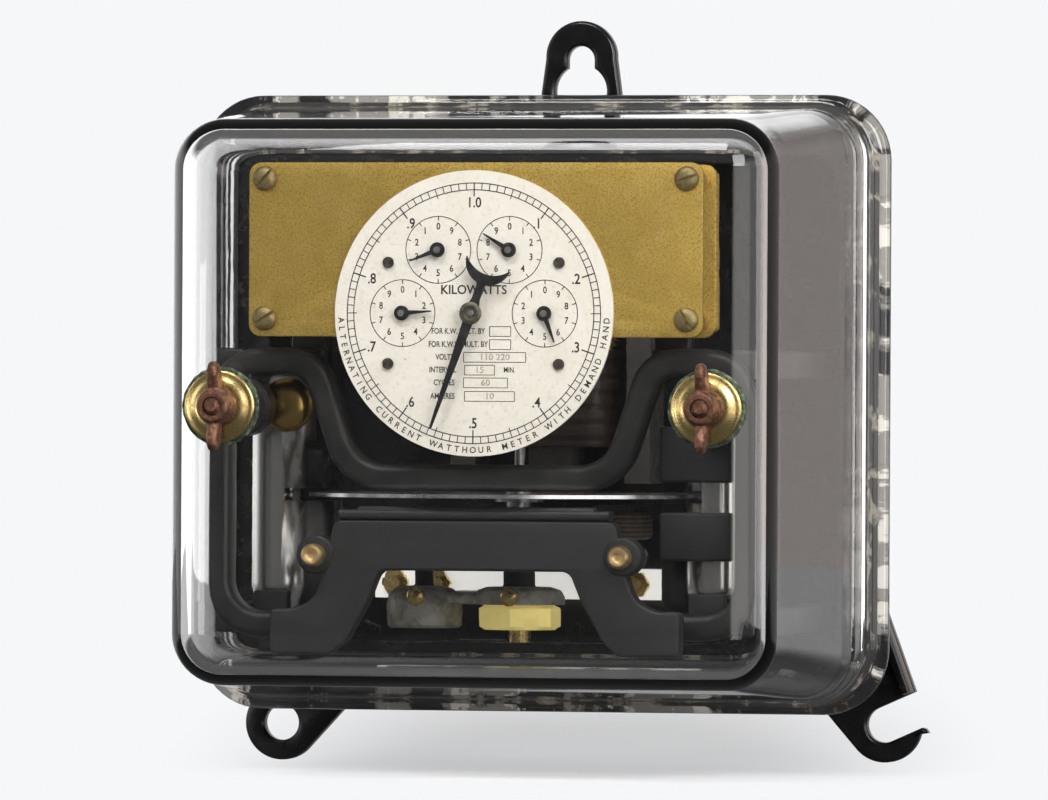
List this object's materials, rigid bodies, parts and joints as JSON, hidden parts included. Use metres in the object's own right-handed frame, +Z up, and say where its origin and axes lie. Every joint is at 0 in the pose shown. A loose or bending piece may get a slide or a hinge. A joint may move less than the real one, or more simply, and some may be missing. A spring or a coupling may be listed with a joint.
{
  "type": "electricity meter",
  "caption": "Glass-cased wall electricity meter with a round counting dial, demand hand, brass register, turning aluminium disk, drag magnets and a black cast base with fixing lugs.",
  "frame": {"origin": "middle of the back face of the base pan, which lies on the wall", "axes": "+X to the right seen from the front, +Y into the wall, +Z up"},
  "size_m": [0.194, 0.1516, 0.2057],
  "materials": {
    "black_japan": "black japan over cast iron, worn at its edges",
    "bracket_black": "dull black paint",
    "clear_glass": "clear pressed glass",
    "plate_brass": "lacquered brass, mottled with age",
    "bright_brass": "turned brass",
    "corroded_nut": "brown corroded brass",
    "verdigris": "gasket with green verdigris",
    "seal_felt": "old felt seal, black paint over pale felt",
    "lead_bushing": "hard rubber",
    "white_porcelain": "glazed white",
    "dial_white": "off-white enamel with black print",
    "hand_black": "blued black steel",
    "dark_steel": "dark steel",
    "bright_steel": "polished steel",
    "magnet_steel": "nickelled magnet steel",
    "grey_casting": "grey casting",
    "disk_aluminium": "bright aluminium sheet",
    "core_iron": "varnished iron laminations",
    "coil_wrap": "copper winding under varnished tape",
    "coil_wire": "cotton-covered copper wire",
    "copper": "bare copper"
  },
  "bodies": {
    "base": {"base_casting": "black_japan", "cover_seal": "seal_felt", "lead_bushings": "lead_bushing", "terminal_block": "white_porcelain", "terminal_studs": "bright_brass", "main_frame": "black_japan", "frame_screws": "dark_steel", "lower_bracket": "bracket_black", "bracket_pins": "bright_brass", "drag_magnet_left": "magnet_steel", "drag_magnet_right": "magnet_steel", "magnet_clamps": "bracket_black", "magnet_keeper": "bracket_black", "potential_core": "core_iron", "potential_coil": "coil_wrap", "current_core": "core_iron", "current_coils": "coil_wire", "shading_band": "copper", "lower_bearing_bridge": "grey_casting", "jewel_screw": "bright_brass", "bearing_nut": "bright_brass", "upper_bearing_bridge": "black_japan", "upper_bearing_pin": "bright_steel", "register_front_plate": "plate_brass", "register_rear_plate": "plate_brass", "register_pillars": "bright_brass", "register_screws": "bright_brass", "dial_plate": "dial_white", "dial_screws": "dark_steel", "arbor_bridge": "plate_brass", "hand_spring": "bright_brass", "cover_studs": "corroded_nut"},
    "rotor": {"disk": "disk_aluminium", "disk_hub": "bright_steel", "spindle": "bright_steel", "worm": "bright_steel"},
    "drive": {"worm_wheel": "bright_brass", "drive_arbor": "bright_steel"},
    "dial_1": {"wheel_1": "bright_brass", "arbor_1": "bright_steel", "pointer_1": "hand_black"},
    "dial_2": {"wheel_2": "bright_brass", "arbor_2": "bright_steel", "pointer_2": "hand_black"},
    "dial_3": {"wheel_3": "bright_brass", "arbor_3": "bright_steel", "pointer_3": "hand_black"},
    "dial_4": {"wheel_4": "bright_brass", "arbor_4": "bright_steel", "pointer_4": "hand_black"},
    "hand": {"demand_hand": "hand_black", "hand_arbor": "bright_steel"},
    "cover": {"glass_cover": "clear_glass", "stud_gaskets": "verdigris", "stud_washers": "bright_brass"},
    "nut_left": {"wing_nut_left": "corroded_nut"},
    "nut_right": {"wing_nut_right": "corroded_nut"}
  },
  "joints": [
    {"name": "disk_spin", "type": "hinge", "parent": "base", "child": "rotor", "pos_m": [0, -0.072, 0], "axis": [0, 0, 1], "continuous": true},
    {"name": "drive_turn", "type": "hinge", "parent": "base", "child": "drive", "pos_m": [0.00975, -0.072, 0.00701], "axis": [0, 1, 0], "continuous": true},
    {"name": "dial_1_turn", "type": "hinge", "parent": "base", "child": "dial_1", "pos_m": [0.0195, -0.118, 0.0239], "axis": [0, 1, 0], "continuous": true},
    {"name": "dial_2_turn", "type": "hinge", "parent": "base", "child": "dial_2", "pos_m": [0.00975, -0.118, 0.04079], "axis": [0, 1, 0], "continuous": true},
    {"name": "dial_3_turn", "type": "hinge", "parent": "base", "child": "dial_3", "pos_m": [-0.00975, -0.118, 0.04079], "axis": [0, 1, 0], "continuous": true},
    {"name": "dial_4_turn", "type": "hinge", "parent": "base", "child": "dial_4", "pos_m": [-0.0195, -0.118, 0.0239], "axis": [0, 1, 0], "continuous": true},
    {"name": "demand_hand_turn", "type": "hinge", "parent": "base", "child": "hand", "pos_m": [0, -0.118, 0.0239], "axis": [0, 1, 0], "range_deg": [-199, 160]},
    {"name": "cover_lift", "type": "slide", "parent": "base", "child": "cover", "axis": [0, -1, 0], "range_m": [0, 0.12]},
    {"name": "nut_left_turn", "type": "hinge", "parent": "cover", "child": "nut_left", "pos_m": [-0.0664, -0.146, -0.0012], "axis": [0, -1, 0], "continuous": true},
    {"name": "nut_right_turn", "type": "hinge", "parent": "cover", "child": "nut_right", "pos_m": [0.0664, -0.146, -0.0012], "axis": [0, -1, 0], "continuous": true}
  ],
  "couplings": [
    {"joint": "drive_turn", "follows": "disk_spin", "ratio": 0.027778},
    {"joint": "dial_1_turn", "follows": "disk_spin", "ratio": -0.0027778},
    {"joint": "dial_2_turn", "follows": "disk_spin", "ratio": 0.00027778},
    {"joint": "dial_3_turn", "follows": "disk_spin", "ratio": -0.000027778},
    {"joint": "dial_4_turn", "follows": "disk_spin", "ratio": 0.0000027778}
  ]
}
